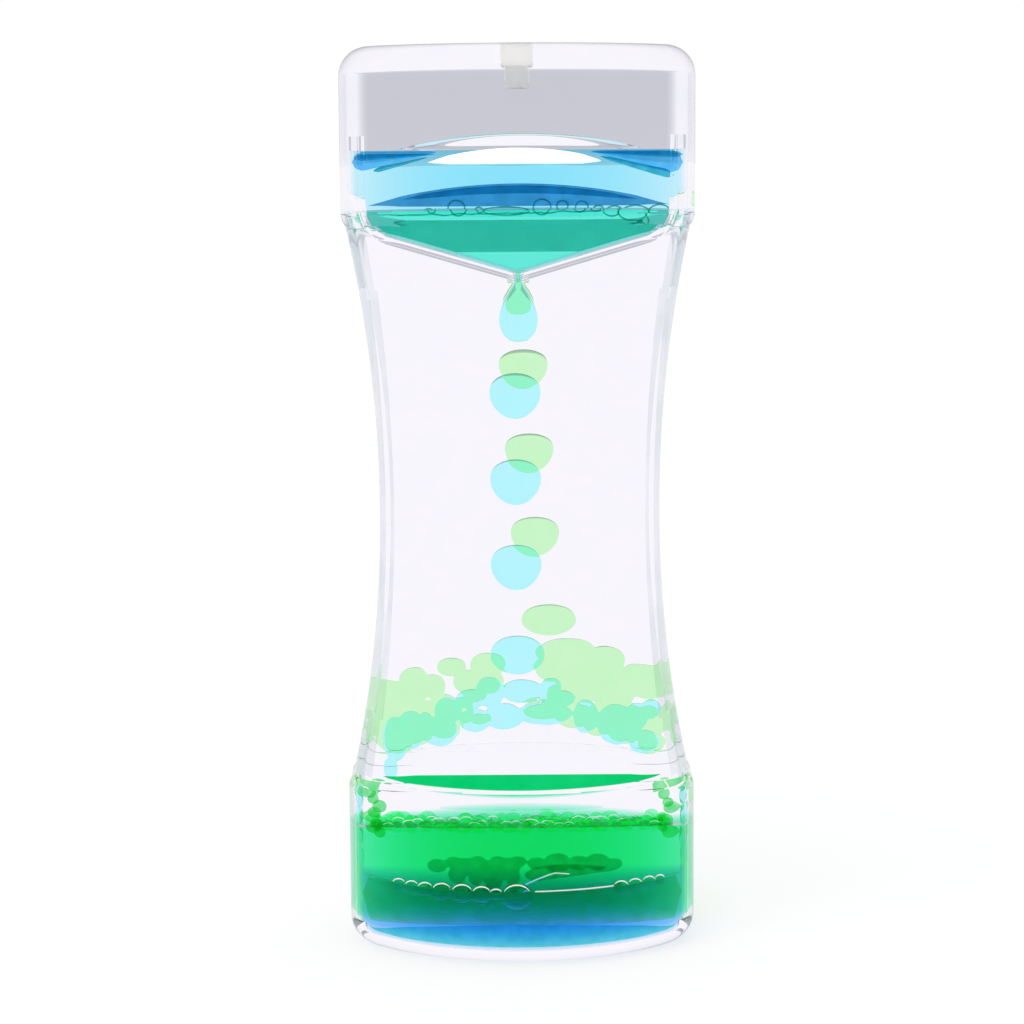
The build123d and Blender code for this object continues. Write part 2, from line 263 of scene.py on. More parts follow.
def joined(parts):
    """Several meshes as one list of points and faces."""
    verts = []
    faces = []
    for v, f in parts:
        faces += [tuple(len(verts) + i for i in face) for face in f]
        verts += v
    return verts, faces


def flip(verts):
    """The same points in the rear compartment."""
    return [(x, -y, z) for x, y, z in verts]


def upside(rows):
    """Rows of points at the other end of the case."""
    return [[(x, y, HEIGHT - z) for x, y, z in row] for row in reversed(rows)]


def steps_between(low, high, count):
    """Even steps up to a height, without the first."""
    return [low + (high - low) * i / count for i in range(1, count + 1)]


# Curves over the place across, and places in depth
def straight(x0, z0, x1, z1):
    """A height on the line through two points."""
    return lambda x: z0 + (z1 - z0) * (x - x0) / (x1 - x0)


def level(z):
    """The same height everywhere."""
    return lambda x: z


def hump(base, rise, half, middle=0.0):
    """A height that rises from its base to a rounded top."""
    return lambda x: base + rise * max(1 - ((x - middle) / half) ** 2, 0)


def along_front(gap, block=True):
    """A place just behind the front wall."""
    return lambda x, z: front_at(x, z, WALL + FILM + gap, block)


def at_depth(y):
    """A place at the same distance from the middle plane everywhere."""
    return lambda x, z: y


# Materials
def new_material(name):
    """A material without nodes, its nodes and its links."""
    mat = bpy.data.materials.new(name)
    mat.use_nodes = True
    mat.node_tree.nodes.clear()
    return mat, mat.node_tree.nodes, mat.node_tree.links


def add(n, kind, **values):
    """A shader node of a kind, with inputs set by their names."""
    node = n.new("ShaderNode" + kind)
    for name, value in values.items():
        node.inputs[name.replace("_", " ")].default_value = value
    return node


def noise_at(n, l, scale):
    """Noise in the object's own coordinates."""
    coord = add(n, "TexCoord")
    tex = add(n, "TexNoise", Scale=scale, Detail=2.0)
    l.new(coord.outputs["Object"], tex.inputs["Vector"])
    return tex.outputs["Fac"]


def ripple(n, l, scale, height):
    """A bump of noise, its height in metres."""
    bump = add(n, "Bump", Distance=height, Strength=1.0)
    l.new(noise_at(n, l, scale), bump.inputs["Height"])
    return bump.outputs[0]


def tint_between(n, l, scale, low, high):
    """A colour that drifts between two tints."""
    ramp = add(n, "ValToRGB")
    for stop, place, tint in zip(ramp.color_ramp.elements, (0.35, 0.65), (low, high)):
        stop.position = place
        stop.color = (*tint, 1)
    l.new(noise_at(n, l, scale), ramp.inputs[0])
    return ramp.outputs[0]


# A dye's colour is the share of white that is left after this run
DYE_RUN = 17.6
DYE_DENSITY = 400.0
# Half the height of the band where a piece doesn't bend light
PLAIN_BAND = 0.4
PLASTIC_INDEX = 1.49
SHEEN_FROM = 0.05


def dyed(through):
    """The absorption colour of a dye."""
    return tuple(1 + math.log(t) / (DYE_RUN * MM * DYE_DENSITY) for t in through)


def bend_but_at(n, l, height, ior):
    """An index that is 1 near one height and ior elsewhere."""
    coord = add(n, "TexCoord")
    split = add(n, "SeparateXYZ")
    near = add(n, "Math")
    near.operation = "COMPARE"
    near.inputs[1].default_value = height * MM
    near.inputs[2].default_value = PLAIN_BAND * MM
    bend = add(n, "MapRange", To_Min=ior, To_Max=1.0)
    l.new(coord.outputs["Object"], split.inputs[0])
    l.new(split.outputs["Z"], near.inputs[0])
    l.new(near.outputs[0], bend.inputs["Value"])
    return bend.outputs[0]


def with_sheen(n, l, body):
    """The reflection of real plastic over a body, on outer faces only."""
    gloss = add(n, "BsdfGlossy", Roughness=0.02)
    fresnel = add(n, "Fresnel", IOR=PLASTIC_INDEX)
    side = add(n, "NewGeometry")
    front = add(n, "Math")
    front.operation = "SUBTRACT"
    front.inputs[0].default_value = 1
    l.new(side.outputs["Backfacing"], front.inputs[1])
    edge = add(n, "MapRange", From_Min=SHEEN_FROM)
    l.new(fresnel.outputs[0], edge.inputs["Value"])
    share = add(n, "Math")
    share.operation = "MULTIPLY"
    l.new(front.outputs[0], share.inputs[0])
    l.new(edge.outputs[0], share.inputs[1])
    both = add(n, "MixShader")
    l.new(share.outputs[0], both.inputs[0])
    l.new(body.outputs[0], both.inputs[1])
    l.new(gloss.outputs[0], both.inputs[2])
    return both


def glass(name, ior, tint, shadow, scale=60, height=0.0, dye=None, sheen=False, plain_at=None):
    """Clear or dyed matter that lets most of the lamp's light through."""
    mat, n, l = new_material(name)
    out = add(n, "OutputMaterial")
    body = add(n, "BsdfGlass", IOR=ior, Roughness=0.0)
    if plain_at is not None:
        l.new(bend_but_at(n, l, plain_at, ior), body.inputs["IOR"])
    l.new(tint_between(n, l, scale * 4, *tint), body.inputs["Color"])
    if height:
        l.new(ripple(n, l, scale, height), body.inputs["Normal"])
    if sheen:
        body = with_sheen(n, l, body)
    light = add(n, "BsdfTransparent", Color=(*shadow, 1))
    path = add(n, "LightPath")
    mix = add(n, "MixShader")
    l.new(path.outputs["Is Shadow Ray"], mix.inputs[0])
    l.new(body.outputs[0], mix.inputs[1])
    l.new(light.outputs[0], mix.inputs[2])
    l.new(mix.outputs[0], out.inputs["Surface"])
    if dye:
        vol = add(n, "VolumeAbsorption", Color=(*dyed(dye), 1), Density=DYE_DENSITY)
        l.new(vol.outputs[0], out.inputs["Volume"])
    return mat


def unseen(name):
    """The faces where the halves of the case touch."""
    mat, n, l = new_material(name)
    out = add(n, "OutputMaterial")
    l.new(add(n, "BsdfTransparent").outputs[0], out.inputs["Surface"])
    return mat


def satin(name, tint, tint_scale, rough, transmission, bump_scale, bump, glow=0.0):
    """Pale matter with a soft surface that lets some light through, or glows a little as painted light."""
    mat, n, l = new_material(name)
    out = add(n, "OutputMaterial")
    p = add(n, "BsdfPrincipled", Roughness=rough, IOR=1.05, Transmission_Weight=transmission)
    if glow:
        p.inputs["Emission Color"].default_value = (1, 1, 1, 1)
        p.inputs["Emission Strength"].default_value = glow
    l.new(tint_between(n, l, tint_scale, *tint), p.inputs["Base Color"])
    l.new(ripple(n, l, bump_scale, bump), p.inputs["Normal"])
    l.new(p.outputs[0], out.inputs["Surface"])
    return mat


# The case and what is clear in it
CLEAR = (1, 1, 1)
WHITE = ((1, 1, 1), (0.995, 0.997, 0.999))
# The corner tint is painted shade: it greys the rounded corners in place of the dark lines that bending light
# draws there
EDGE_PAINTED_SHADE = ((0.82, 0.86, 0.86), (0.91, 0.94, 0.94))
CASE_SHADE = (0.93, 0.93, 0.94)
CLEAR_SHADE = (0.98, 0.98, 0.98)
OUTER_INDEX = 1.09
INNER_INDEX = 0.945
case_outer = glass("clear_case_outer", OUTER_INDEX, WHITE, CASE_SHADE, 55, 0.00006, sheen=True)
case_plain = glass("clear_case_floor", 1.0, WHITE, CLEAR, 45, 0.0001)
case_inner = glass("clear_case_inner", INNER_INDEX, WHITE, CLEAR, 45, 0.0001)
case_corner_painted_shade = glass("clear_case_corner_painted_shade", OUTER_INDEX, EDGE_PAINTED_SHADE, CASE_SHADE, 30, 0.00006, sheen=True)
case_inner_corner_painted_shade = glass("clear_case_inner_corner_painted_shade", INNER_INDEX, EDGE_PAINTED_SHADE, CLEAR, 30, 0.0001)
joint_face = unseen("case_joint_face")
insert = glass("clear_insert_look", 1.02, WHITE, CLEAR_SHADE, 90, 0.00005)
insert_low = glass("clear_insert_thin_look", 1.0, WHITE, CLEAR_SHADE, 90, 0.00005)
cream = ((0.985, 0.975, 0.93), (1.0, 1.0, 0.97))
plug_look = satin("plug_look", cream, 500, 0.35, 0.9, 900, 0.00003)

# The pools
POOL_INDEX = 0.985
POOL_RIPPLE = 0.00003
BLUE_SHADE = (0.6, 0.85, 1)
blue_up = glass("blue_upper_look", POOL_INDEX, WHITE, (0.7, 0.9, 1), 50, POOL_RIPPLE,
                dye=(0.27, 0.83, 0.985), plain_at=LEDGE_TOP)
green_up = glass("green_upper_look", POOL_INDEX, WHITE, (0.5, 0.95, 0.7), 50, POOL_RIPPLE,
                 dye=(0.1, 0.99, 0.55), plain_at=LEDGE_TOP)
blue_low = glass("blue_lower_look", POOL_INDEX, WHITE, BLUE_SHADE, 50, POOL_RIPPLE, dye=(0.04, 0.3, 0.93))
green_low = glass("green_lower_look", POOL_INDEX, WHITE, (0.4, 0.9, 0.5), 50, POOL_RIPPLE,
                  dye=(0.004, 0.76, 0.13))

# Drops, beads and froth
blue_bead = glass("blue_drop_look", 0.987, ((0.69, 1.0, 1.0), (0.71, 0.99, 1.0)), (0.75, 0.93, 1))
green_bead = glass("green_drop_look", 0.987, ((0.775, 1.0, 0.755), (0.795, 1.0, 0.775)), (0.8, 1, 0.78))
green_froth = glass("green_froth_look", 0.99, ((0.52, 0.99, 0.72), (0.66, 1.0, 0.8)), (0.6, 0.95, 0.7), 140)
dark_green = glass("green_dark_look", 0.99, ((0.2, 0.74, 0.6), (0.4, 0.84, 0.7)), (0.4, 0.8, 0.6), 200)
side_green = glass("green_side_look", 0.985, ((0.35, 0.86, 0.5), (0.6, 0.95, 0.66)), (0.5, 0.9, 0.6), 160)
ring = glass("bubble_rim_look", 0.97, ((0.22, 0.7, 0.62), (0.4, 0.82, 0.74)), (0.6, 0.9, 0.8), 160)
scallop = glass("froth_look", 0.972, ((0.72, 0.92, 0.95), (0.82, 0.97, 0.98)), (0.6, 0.9, 0.9), 120)
# Painted highlights: a pale tint that glows a little, for light caught at the liquid levels and at the blue
# swell's edge
PAINTED_HIGHLIGHT_TINT = ((0.93, 0.96, 0.97), (1.0, 1.0, 0.99))
painted_highlight = satin("painted_highlight_look", PAINTED_HIGHLIGHT_TINT, 240, 0.3, 0.12, 260, 0.0001, 0.12)
# A painted highlight that glows, for the bright reflection at the edge of the blue swell
lens = satin("lens_painted_highlight_look", PAINTED_HIGHLIGHT_TINT, 240, 0.3, 0.12, 260, 0.0001, 0.4)

# Films in the liquids, some of them painted shade
FILM_INDEX = 0.996
meniscus = glass("meniscus_look", 1.12, WHITE, (0.97, 0.98, 1), 200, 0.00004)
# Painted shade: darker blue films where dark surroundings are seen in the upper pool, on top of a deeper blue
# for a longer run through the dye
deep_blue_shade = glass("blue_deep_painted_shade_look", FILM_INDEX, ((0.25, 0.68, 0.77), (0.36, 0.78, 0.86)), BLUE_SHADE, 130)
mid_blue_shade = glass("blue_mid_painted_shade_look", FILM_INDEX, ((0.4, 0.74, 0.96), (0.5, 0.8, 0.98)), BLUE_SHADE, 110)
dusk_blue_shade = glass("blue_dusk_painted_shade_look", FILM_INDEX, ((0.3, 0.57, 0.75), (0.38, 0.63, 0.83)), BLUE_SHADE, 110)
floor_blue = glass("blue_floor_look", FILM_INDEX, ((0.42, 0.88, 0.84), (0.52, 0.93, 0.9)), BLUE_SHADE, 150)
low_teal = glass("blue_teal_look", FILM_INDEX, ((0.82, 0.93, 0.7), (0.9, 0.96, 0.78)), (0.6, 0.9, 0.8), 90)
# Painted shade over the teal of blue seen in front of green
teal_painted_shade = glass("green_painted_shade_look", FILM_INDEX, ((0.43, 0.75, 0.71), (0.47, 0.78, 0.74)), (0.5, 0.9, 0.7), 60)
strong_green = glass("green_strong_look", FILM_INDEX, ((0.04, 0.81, 0.4), (0.07, 0.83, 0.43)),
                     (0.4, 0.9, 0.5), 60)

# Case shells
SHELL_LOOKS = [case_outer, case_inner, joint_face, case_plain, case_corner_painted_shade, case_inner_corner_painted_shade]
OUTER, INNER, JOINT, PLAIN, OUTER_CORNER, INNER_CORNER = range(len(SHELL_LOOKS))
# Shares of a face's normal: along an axis, and from where to where a face belongs to a rounded corner
ALONG = 0.9
BLOCK_CORNER_FROM = 0.9
WAIST_CORNER_FROM = 0.75
CORNER_TO = 0.985
# How near the ledge a face of its front edge is
UPPER_EDGE_REACH = 1.5
INNER_EDGE_REACH = 1.2


def shoulder_line(gap, top, radius):
    """Distance in from the block's outline by height, up its edge, over the ledge and up the waist."""
    line = []
    start = top - LEDGE_EDGE - RUN_IN
    for i in range(LEDGE_STEPS + 1):
        z = start + (top - start) * i / LEDGE_STEPS
        over = max(z - top + radius, 0)
        back = radius - math.sqrt(max(radius**2 - over**2, 0))
        if z >= WAIST_BOTTOM:
            back = min(back, gap(z)[0])
        line.append((back, z))
    line.append((gap(top)[0], top))
    for i in range(1, RUN_OUT_STEPS + 1):
        z = top + RUN_OUT * i / RUN_OUT_STEPS
        line.append((gap(z)[0], z))
    return line


def evenly(line, count):
    """A line of points resampled at equal distances and softened once."""
    run = [0]
    for a, b in zip(line, line[1:]):
        run.append(run[-1] + math.dist(a, b))
    even = []
    j = 0
    for i in range(count + 1):
        want = run[-1] * i / count
        while j < len(run) - 2 and run[j + 1] < want:
            j += 1
        share = (want - run[j]) / max(run[j + 1] - run[j], 1e-9)
        even.append(tuple(a + (b - a) * share for a, b in zip(line[j], line[j + 1])))
    soft = [tuple((a + 2 * b + c) / 4 for a, b, c in zip(*t)) for t in zip(even, even[1:], even[2:])]
    return [even[0]] + soft + [even[-1]]


def shoulder(k, block, inset, radius):
    """The step between end block and waist at one place round the outline."""
    bx, by = block[k]
    toward = min(max((abs(bx) - EDGE_GROWS_FROM) / EDGE_GROWS_OVER, 0), 1)
    in_front = min(radius, LEDGE_EDGE_FRONT)
    radius = in_front + (radius - in_front) * toward**2 * (3 - 2 * toward)

    def gap(z):
        wx, wy = waist_half(max(z, WAIST_BOTTOM), inset)[k]
        return math.hypot(bx - wx, by - wy), wx, wy

    points = []
    for back, z in evenly(shoulder_line(gap, BLOCK_HEIGHT - inset, radius), SHOULDER_STEPS):
        full, wx, wy = gap(z)
        share = back / max(full, 1e-6)
        points.append((bx + (wx - bx) * share, by + (wy - by) * share, z))
    return points


def shell_rows(inset, end_radius, ledge_radius):
    """Half the case surface at one distance inside the outline, end to end."""
    rows = []
    base = END_WALL if inset else 0
    for extra in END_LOOPS:
        rows.append([(x, y, base) for x, y in block_half(inset + end_radius + extra)])
    for i in range(END_STEPS + 1):
        a = math.pi / 2 * i / END_STEPS
        plan = block_half(inset + end_radius * (1 - math.sin(a)))
        rows.append([(x, y, base + end_radius * (1 - math.cos(a))) for x, y in plan])
    plan = block_half(inset)
    top = BLOCK_HEIGHT - inset
    low = base + end_radius
    high = top - LEDGE_EDGE - RUN_IN
    for i in range(1, BLOCK_STEPS):
        rows.append([(x, y, low + (high - low) * i / BLOCK_STEPS) for x, y in plan])
    columns = [shoulder(k, plan, inset, ledge_radius) for k in range(len(plan))]
    rows += [list(row) for row in zip(*columns)]
    for z in steps_between(top + RUN_OUT, MIDDLE, WAIST_STEPS):
        rows.append([(x, y, z) for x, y in waist_half(z, inset)])
    return rows + upside(rows)[1:]


def outside(c):
    """Whether a face of the shell belongs to its outer surface."""
    half = WALL / 2
    z = low_end(c.z)
    if z < END_WALL / 2:
        return True
    if z < BLOCK_HEIGHT - half:
        return abs(c.y) > front_at(c.x, z, half, True) or abs(c.x) > WIDTH / 2 - half
    return abs(c.x) > waist_size(z, half)[0] or abs(c.y) > front_at(c.x, z, half, False)


def shell_look(c, normal):
    """The look of a face, from its centre and the way it faces.

    Flat ends, ledges and the front edge of the upper ledge are plain: they don't bend light. Rounded corners
    below the upper block take a grey tint, which is painted shade.
    """
    if abs(c.y) < 1e-4 and abs(normal.y) > ALONG:
        return JOINT
    z = low_end(c.z)
    facing_up = abs(normal.z)
    facing_side = abs(normal.x)
    in_front = facing_side < 0.5
    least = BLOCK_CORNER_FROM if z < BLOCK_HEIGHT else WAIST_CORNER_FROM
    # Faces of the rounded corners below the upper block get the looks with painted shade
    corner = c.z < HEIGHT - BLOCK_HEIGHT and least < facing_side < CORNER_TO
    if outside(c):
        from_ledge = abs(z - BLOCK_HEIGHT)
        ledge = facing_up > ALONG and from_ledge < WALL / 2
        upper_edge = c.z > MIDDLE and in_front and from_ledge < UPPER_EDGE_REACH and facing_up > 0.03
        base = facing_up > ALONG and c.z < WALL
        if ledge or upper_edge or base:
            return PLAIN
        return OUTER_CORNER if corner else OUTER
    rounded_end = z < END_WALL + CAVITY_EDGE
    inner_edge = in_front and abs(z - BLOCK_HEIGHT + WALL) < INNER_EDGE_REACH
    if rounded_end or facing_up > 0.5 or inner_edge:
        return PLAIN
    return INNER_CORNER if corner else INNER


def case_half(name, node, front):
    """One half of the case: outer and inner surface, joined along the middle plane."""
    outer = shell_rows(0, END_EDGE, LEDGE_EDGE)
    for row in outer:
        for k, side in ((0, -1), (-1, 1)):
            x, y, z = row[k]
            row[k] = (x + JOINT_STEP * side, y, z)
    verts, faces = joined([loft(outer, False), loft(shell_rows(WALL, CAVITY_EDGE, LEDGE_EDGE_INSIDE), False)])
    n = len(outer[0])
    base = len(verts) // 2
    last = (len(outer) - 1) * n
    for start in (0, last):
        faces.append(tuple(start + k for k in range(n)))
        faces.append(tuple(base + start + k for k in range(n)))
        faces.append((start, start + n - 1, base + start + n - 1, base + start))
    for k in (0, n - 1):
        for r in range(len(outer) - 1):
            a = r * n + k
            faces.append((a, a + n, base + a + n, base + a))
    verts = verts if front else flip(verts)
    ob = make(name, node, verts, faces, SHELL_LOOKS, 60)
    for p in ob.data.polygons:
        p.material_index = shell_look(p.center / MM, p.normal)


case_half("clear_case_front", "front_shell", True)
case_half("clear_case_rear", "rear_shell", False)

for name, ob in nodes.items():
    if name == "divider_panel" or "funnel" in name:
        ob.data.materials.clear()
        ob.data.materials.append(insert_low if name.startswith("lower") else insert)
    elif "_drop" in name and "hanging" not in name and "channel" not in name:
        ob.data.materials.clear()
        ob.data.materials.append(blue_bead if name.startswith("blue") else green_bead)

# Pools: the divider's face, the tip in the nozzle, and the crest line that a free surface runs up to
BACK = DIVIDER_HALF + FILM
TIP_RISE = 0.15
TIP_HALF = 0.4
RIM_RUN = 0.6
SPINE_INSET = 6
BLUE_SPINE_Y = -5.5
SPINE_Y = -9.4
LOW_DIP = 0.25


def pool_loop(z, half, block):
    """A level cut through a pool: front wall from +X to -X, then back along the divider."""
    front = []
    back = []
    for i in range(POOL_STEPS + 1):
        x = half * math.cos(math.pi * i / POOL_STEPS)
        front.append((x, -max(front_at(x, z, WALL + FILM, block), BACK), z))
        back.append((-x, -BACK, z))
    return front + back


def tray_inside(z):
    """Half the room between the tray's plates."""
    centre_x = TRAY_HALF - TRAY_BEND
    centre_z = APEX + SLOPE * centre_x + TRAY_BEND * math.hypot(1, SLOPE)
    turn_z = centre_z - TRAY_BEND / math.hypot(1, SLOPE)
    if z < turn_z:
        return (z - APEX) / SLOPE - FILM
    if z < centre_z:
        return centre_x + math.sqrt(TRAY_BEND**2 - (centre_z - z) ** 2) - FILM
    return TRAY_HALF - FILM


def swell(loop, crest, spine_y, spine_x, power, count=14):
    """Rows from the edge of a free surface in to its crest line."""
    rows = []
    for i in range(1, count + 1):
        s = math.sin(math.pi / 2 * i / count) if i < count else 1
        row = []
        for x, y, z in loop:
            sx = max(-spine_x, min(spine_x, x))
            climb = (crest(sx) - z) * (1 - (1 - s) ** power)
            row.append((x + (sx - x) * s, y + (spine_y - y) * s, z + climb))
        rows.append(row)
    return rows


def pool(name, node, rows, look, front):
    """A pool from its rows: closed below by a face, above by the crest line."""
    verts, faces = loft(rows, True)
    faces.append(tuple(range(len(rows[0]))))
    verts = verts if front else flip(verts)
    make(name, node, verts, faces, look, 38)


def upper_pool(name, node, top, look, front, crest, spine_y, power, over_plates):
    """A pool in a funnel tray, which may stand over the tray's plates as well."""
    rows = [pool_loop(APEX + TIP_RISE, TIP_HALF, False)]
    for z in steps_between(APEX + 2 * TIP_RISE, LEDGE_TOP - 0.01, TRAY_STEPS):
        rows.append(pool_loop(z, tray_inside(z), False))
    rows.append(pool_loop(LEDGE_TOP, tray_inside(LEDGE_TOP), True))
    half = TRAY_HALF - FILM
    if over_plates:
        rows.append(pool_loop(PLATE_TOP, tray_inside(PLATE_TOP), True))
        half = WIDTH / 2 - SIDE_WALL
        for i in range(1, SPILL_STEPS + 1):
            a = math.pi / 2 * i / SPILL_STEPS
            out = TRAY_HALF + (half - TRAY_HALF) * math.sin(a)
            rows.append(pool_loop(PLATE_TOP + SPILL_RISE * (1 - math.cos(a)), out, True))
        for z in steps_between(PLATE_TOP + SPILL_RISE, top - RIM_RUN, DEEP_STEPS):
            rows.append(pool_loop(z, half, True))
    rim = pool_loop(top, half, True)
    rows.append(rim)
    rows += swell(rim, crest, spine_y, half - SPINE_INSET, power)
    pool(name, node, rows, look, front)


def lower_pool(name, node, top, look, front):
    """A pool on the rounded floor of the cavity."""
    half = WIDTH / 2 - SIDE_WALL
    base = END_WALL + FILM
    rows = []
    for i in range(CAVITY_STEPS + 1):
        a = math.pi / 2 * i / CAVITY_STEPS
        z = base + CAVITY_EDGE * (1 - math.cos(a))
        rows.append(pool_loop(z, half - CAVITY_EDGE * (1 - math.sin(a)), True))
    for z in steps_between(base + CAVITY_EDGE, top, DEEP_STEPS):
        rows.append(pool_loop(z, half, True))
    rows += swell(rows[-1], level(top - LOW_DIP), SPINE_Y, half - SPINE_INSET, 2, 8)
    pool(name, node, rows, look, front)


upper_pool("blue_pool_upper", "upper_blue_liquid", BLUE_TOP, blue_up, True,
           hump(BLUE_TOP, 0.5, 18.5), BLUE_SPINE_Y, 1.3, True)
upper_pool("green_pool_upper", "upper_green_liquid", GREEN_TOP, green_up, False,
           hump(GREEN_TOP, 0.3, TRAY_HALF), SPINE_Y, 1.6, False)
lower_pool("blue_pool_lower", "lower_blue_liquid", BLUE_LOW, blue_low, True)
lower_pool("green_pool_lower", "lower_green_liquid", GREEN_LOW, green_low, False)

# Films inside the liquids
VEIL_TURNS = 16


def veil(name, node, look, span, top, bottom, place, thick, side=-1, across=56, flat=False, ends=9):
    """A thin lens-shaped body between two curves; a flat one keeps only the upper half."""
    left, right = span
    rows = []
    for i in range(across + 1):
        u = i / across
        x = left + (right - left) * u
        pinch = min(1, ends * u, ends * (1 - u)) ** 0.5
        middle = (top(x) + bottom(x)) / 2
        half = max((top(x) - bottom(x)) / 2, 0.03) * max(pinch, 0.02)
        row = []
        for j in range(VEIL_TURNS):
            if flat:
                a = math.pi * j / (VEIL_TURNS - 1)
                z = middle - half + 2 * half * math.sin(a)
            else:
                a = math.tau * j / VEIL_TURNS
                z = middle + half * math.sin(a)
            row.append((x, side * (place(x, z) + thick / 2 * max(pinch, 0.05) * math.cos(a)), z))
        rows.append(row)
    verts, faces = capped(rows)
    make(name, node, verts, faces, look, 70)


UP = "upper_blue_liquid"
veil("blue_swell", UP, meniscus, (-18.2, 18.2), hump(BLUE_TOP + 0.25, 2.2, 18.2, 0.6),
     level(BLUE_TOP + 0.1), at_depth(9.0), 3.2, flat=True)
# Name, look, span across, upper and lower curve, place in depth and thickness
# After the highlight, the darker blue films are painted shade over a deeper blue for a longer run through the
# dye
BLUE_FILMS = [
    # A painted highlight along the swell's edge
    ("blue_swell_painted_highlight", lens, (-13.2, 12.4), hump(122.85, 1.75, 12.9), level(122.2), along_front(0.7), 0.8),
    ("blue_left_corner", mid_blue_shade, (-24.4, -11.8), level(124.2), straight(-25, 120.8, -11.8, 123.9),
     along_front(1.6), 1.0),
    ("blue_left_band", deep_blue_shade, (-24.2, -12.0), level(123.8), straight(-25, 122.6, -12, 123.6),
     along_front(3.0), 0.8),
    ("blue_left_streak", deep_blue_shade, (-21.2, -13.2), straight(-21, 121.7, -13.2, 123.4),
     straight(-21, 120.9, -13.2, 123.1), along_front(4.2), 0.7),
    ("blue_right_corner", mid_blue_shade, (10.8, 24.4), level(124.2), straight(10.8, 123.9, 25, 120.2),
     along_front(1.6), 1.0),
    ("blue_right_band", deep_blue_shade, (10.6, 24.4), level(124.0), straight(10.6, 123.8, 24.4, 122.9),
     along_front(3.0), 0.8),
    ("blue_right_streak", deep_blue_shade, (12.2, 23.0), straight(12, 123.5, 23, 121.0),
     straight(12, 123.1, 23, 119.6), along_front(4.2), 0.7),
    ("blue_painted_shade_band", dusk_blue_shade, (-22.0, 22.2), hump(116.0, 3.2, 22.2), level(115.75), at_depth(1.6), 0.8),
    ("blue_painted_shade_line", deep_blue_shade, (-17.0, 17.5), hump(116.9, 2.0, 17.5), hump(116.5, 1.2, 17.5),
     at_depth(2.8), 0.7),
]
for name, look, span, top, bottom, place, thick in BLUE_FILMS:
    veil(name, UP, look, span, top, bottom, place, thick)

TRAY_UP = "upper_green_liquid"


def tray_floor(x):
    """The lower curve of the dark layer in the tray: level, then up along the slopes."""
    return max(108.6, APEX + abs(x) * SLOPE + 0.2)


# A darker teal layer low in the tray: painted shade over the teal of blue seen in front of green
veil("green_depth", TRAY_UP, teal_painted_shade, (-22.7, 22.7), level(113.5), tray_floor,
     at_depth(4.0), 1.0, side=1, across=90, ends=60)
veil("green_shoulder_band", "lower_green_liquid", strong_green, (-21.4, 21.6), level(28.2),
     hump(27.5, -1.9, 21.5), along_front(0.5, False), 0.5)
veil("blue_green_depth", "lower_blue_liquid", low_teal, (-24.4, 24.4), level(BLUE_LOW - 0.1),
     hump(4.0, 2.2, 24.5), along_front(1.2), 0.5, ends=80)
veil("blue_floor_band", "lower_blue_liquid", floor_blue, (-24.0, 24.2), hump(3.0, 3.3, 24.5),
     hump(2.35, 0.3, 24.5), along_front(0.9), 0.8)


# Hanging drops
AXIS_RADIUS = 0.01


def lathe(profile, y, count):
    """Rows of points turned about an upright axis in the middle of the width."""
    turns = [math.tau * k / count for k in range(count)]
    return [[(r * math.cos(a), y + r * math.sin(a), z) for a in turns] for r, z in profile]


def smooth_line(points, count):
    """A smooth curve through points."""
    ends = [points[0]] + points + [points[-1]]
    out = []
    for i in range(1, len(ends) - 2):
        p0, p1, p2, p3 = ends[i - 1 : i + 3]
        for j in range(count):
            t = j / count
            point = []
            for a, b, c, d in zip(p0, p1, p2, p3):
                bend = (2 * a - 5 * b + 4 * c - d) * t**2
                point.append(0.5 * (2 * b + (c - a) * t + bend + (3 * b - a - 3 * c + d) * t**3))
            out.append(tuple(point))
    out.append(points[-1])
    return out


def pendant(name, node, look, y, shape):
    """A hanging drop from its radius and height, the neck first."""
    profile = [(AXIS_RADIUS, NOZZLE_TIP)] + smooth_line(shape, 8)
    verts, faces = loft(lathe(profile, y, LATHE_STEPS), True)
    make(name, node, verts, faces, look, 70)


pendant("blue_hanging_teardrop", "blue_hanging_drop", blue_bead, -TRAIN_Y,
        [(0.62, 105.4), (0.6, 104.6), (0.95, 103.5), (1.95, 101.8), (2.7, 100.0), (2.97, 98.5),
         (2.6, 96.7), (1.6, 95.5), (0.75, 95.2), (AXIS_RADIUS, 95.12)])
pendant("green_hanging_teardrop", "green_hanging_drop", green_bead, TRAIN_Y,
        [(0.62, 105.4), (0.6, 104.7), (0.95, 103.7), (1.9, 102.2), (2.45, 100.9),
         (2.1, 99.6), (1.2, 98.95), (0.5, 98.83), (AXIS_RADIUS, 98.8)])


# Beads
def blob(x, y, z, w, d, h, seed, around, up, rough):
    """A soft, slightly uneven bead."""
    verts = [(x, y, z - h / 2)]
    for j in range(1, up):
        a = math.pi * j / up
        radius = abs(math.sin(a)) ** 0.85
        for i in range(around):
            b = math.tau * i / around
            unit = Vector((radius * math.cos(b), radius * math.sin(b), -math.cos(a)))
            uneven = 1 + rough * noise.noise(unit * 1.3 + Vector((seed, seed * 0.7, 0)))
            dx, dy, dz = unit.x * w / 2, unit.y * d / 2, unit.z * h / 2
            verts.append((x + dx * uneven, y + dy * uneven, z + dz * uneven))
    verts.append((x, y, z + h / 2))
    faces = [(0, 1 + (i + 1) % around, 1 + i) for i in range(around)]
    for j in range(up - 2):
        for i in range(around):
            a = 1 + j * around + i
            b = 1 + j * around + (i + 1) % around
            faces.append((a, b, b + around, a + around))
    top = len(verts) - 1
    first = 1 + (up - 2) * around
    faces += [(top, first + i, first + (i + 1) % around) for i in range(around)]
    return verts, faces


